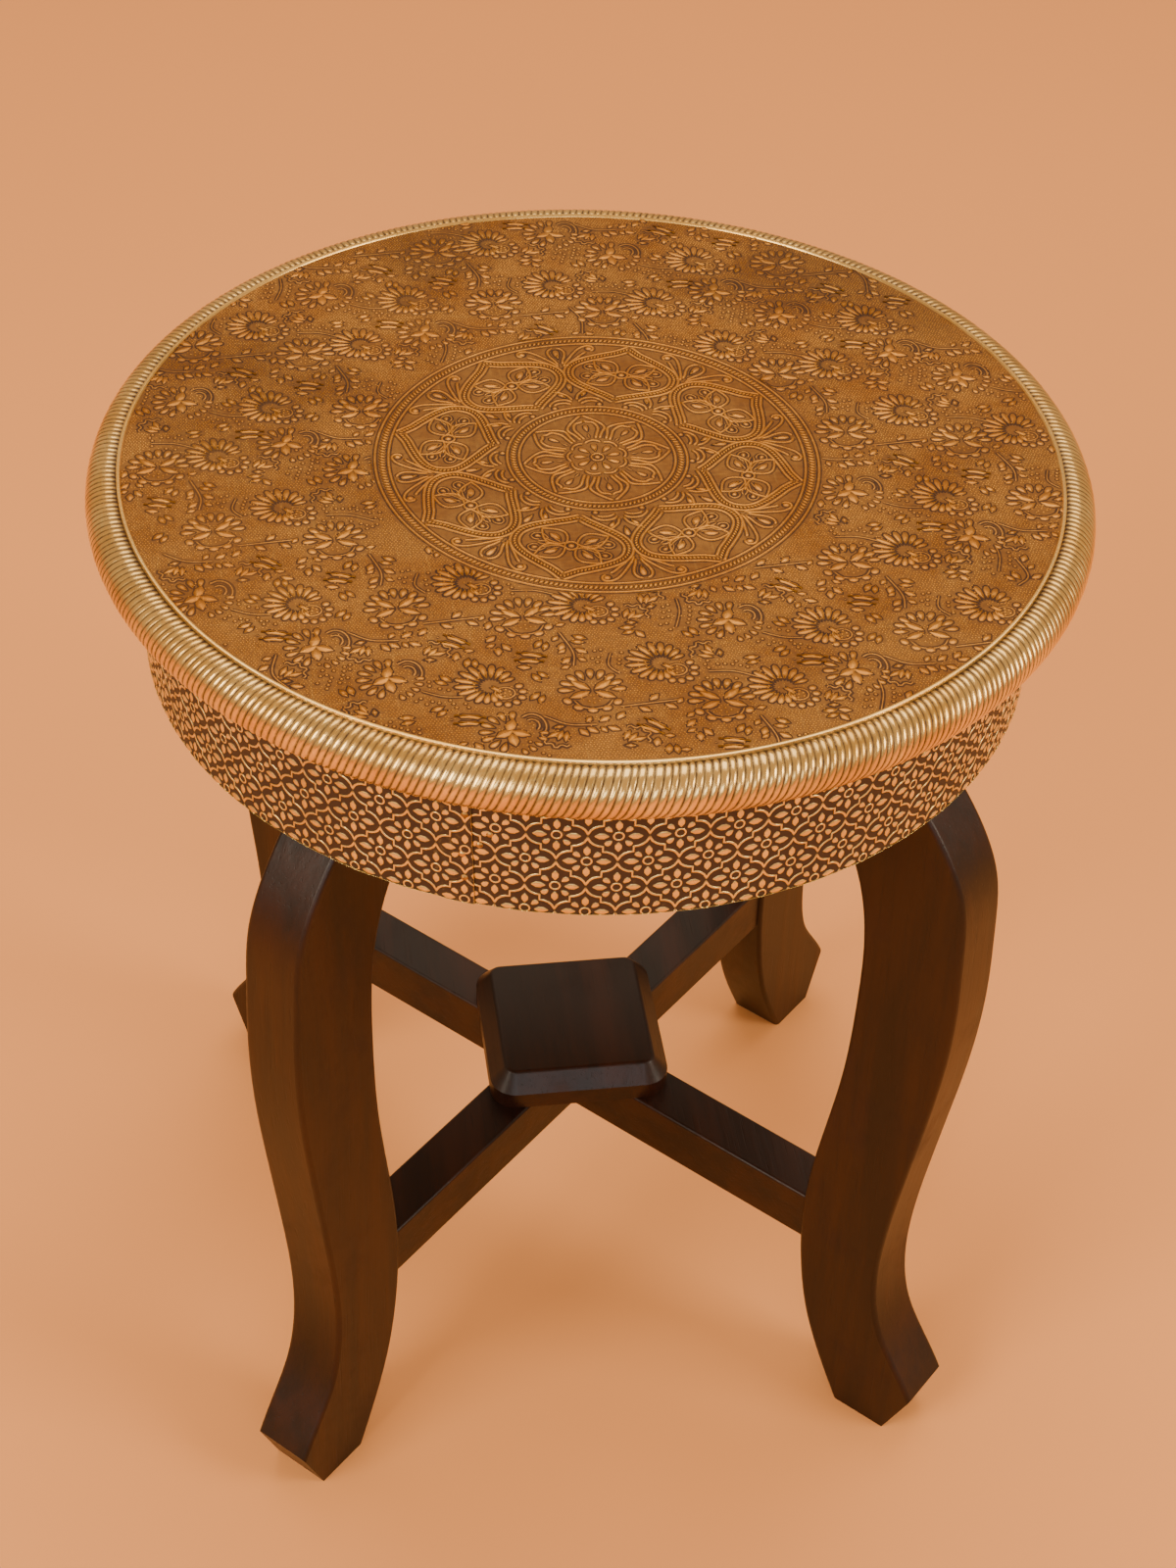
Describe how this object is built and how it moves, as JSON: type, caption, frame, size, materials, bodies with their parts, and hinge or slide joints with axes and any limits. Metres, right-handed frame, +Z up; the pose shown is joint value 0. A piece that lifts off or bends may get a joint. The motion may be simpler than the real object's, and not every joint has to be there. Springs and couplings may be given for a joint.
{
  "type": "brass tray table",
  "caption": "Round side table: embossed antique-brass top, rope-pattern rim and apron over wood, on dark sawn cabriole legs tied by a cross stretcher.",
  "frame": {"origin": "on the floor, under the centre of the round top", "axes": "+Z up; -Y is the front; the four legs stand on the diagonals of X and Y"},
  "size_m": [0.405, 0.4049, 0.462],
  "materials": {
    "brass_top": "embossed sheet, brown antique patina",
    "brass_rim": "ribbed sheet, rubbed bright",
    "brass_apron": "embossed sheet, dark patina in the ground",
    "brass_nails": "worn",
    "stained_wood": "dark walnut stain, semi-gloss",
    "carcass_wood": "plain, unfinished inside",
    "screw_steel": "zinc plated"
  },
  "bodies": {
    "root": {"top_board": "carcass_wood", "brass_top_sheet": "brass_top", "brass_rim_band": "brass_rim", "brass_apron_band": "brass_apron", "apron_segment_front": "carcass_wood", "apron_segment_right": "carcass_wood", "apron_segment_back": "carcass_wood", "apron_segment_left": "carcass_wood", "leg_front_left": "stained_wood", "leg_front_right": "stained_wood", "leg_back_left": "stained_wood", "leg_back_right": "stained_wood", "stretcher_rail_lower": "stained_wood", "stretcher_rail_upper": "stained_wood", "stretcher_cap_block": "stained_wood", "hoop_screws": "screw_steel", "leg_top_screws": "screw_steel", "hoop_top_screws": "screw_steel", "cap_screws": "screw_steel", "hem_tacks": "brass_nails", "seam_pins": "brass_nails"}
  },
  "joints": []
}
